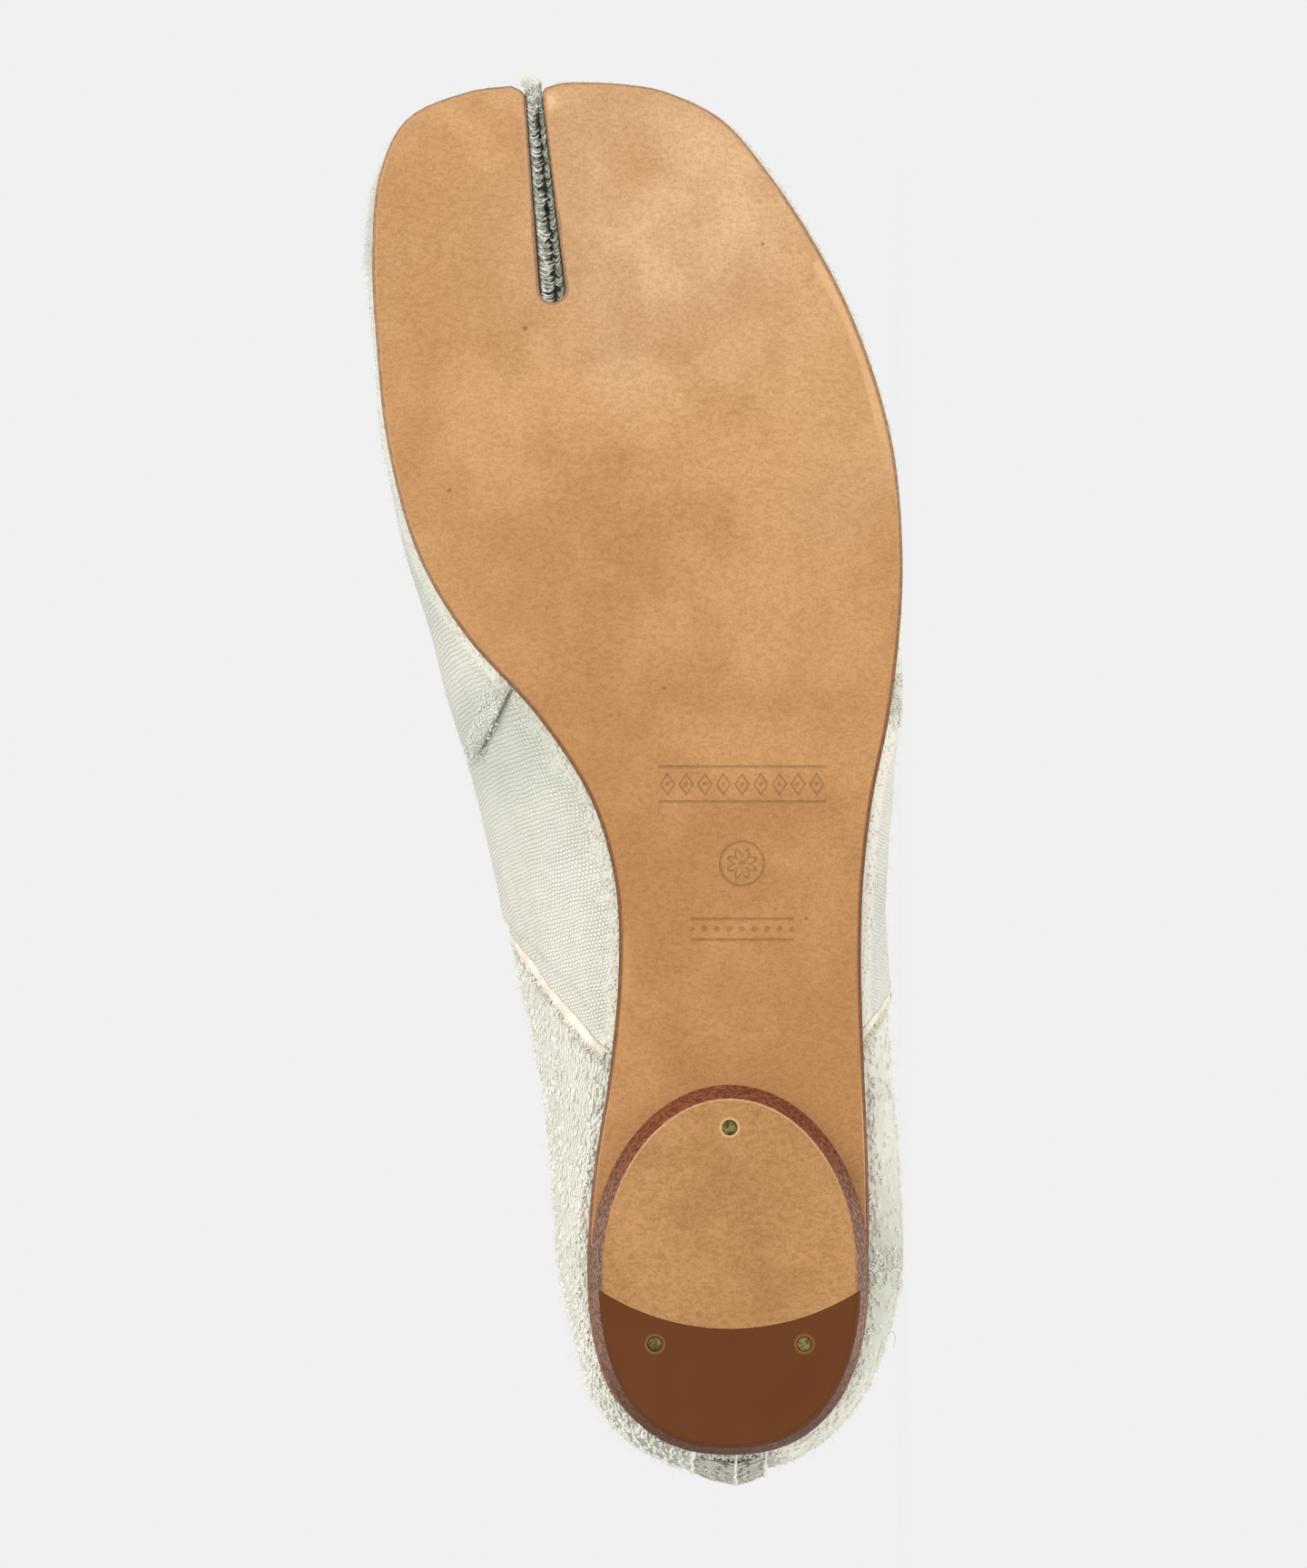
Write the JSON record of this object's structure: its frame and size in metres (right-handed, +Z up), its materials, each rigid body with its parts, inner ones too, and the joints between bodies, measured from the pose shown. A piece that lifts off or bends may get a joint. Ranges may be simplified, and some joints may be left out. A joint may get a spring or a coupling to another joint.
{
  "type": "tabi ballet flat",
  "caption": "Split-toe ballet flat with a hollow cloth upper, a thin leather sole and a low oval heel, lying on its outer side with the sole upright.",
  "frame": {"origin": "on the ground under the middle of the shoe as it lies on its outer side", "axes": "+X from heel to toes, -Y the way the underside of the sole faces, +Z up, towards the inner side"},
  "size_m": [0.257, 0.0666, 0.0975],
  "materials": {
    "sole_leather": "smooth natural tan sole leather, worn satin, with a painted brown edge",
    "lining": "plain cream lining",
    "cloth": "off-white woven cloth, fine weave in front and nubby loops behind",
    "heel_wood": "low wooden heel with a reddish brown matte wall",
    "lift_rubber": "dark brown matte rubber",
    "nail_brass": "dull brass nail heads"
  },
  "bodies": {
    "root": {"outsole": "sole_leather", "insole": "lining", "upper": "cloth", "back_strip": "cloth", "heel_block": "heel_wood", "heel_lift_front": "sole_leather", "heel_lift_rear": "lift_rubber", "heel_nail_1": "nail_brass", "heel_nail_2": "nail_brass", "heel_nail_3": "nail_brass"}
  },
  "joints": []
}
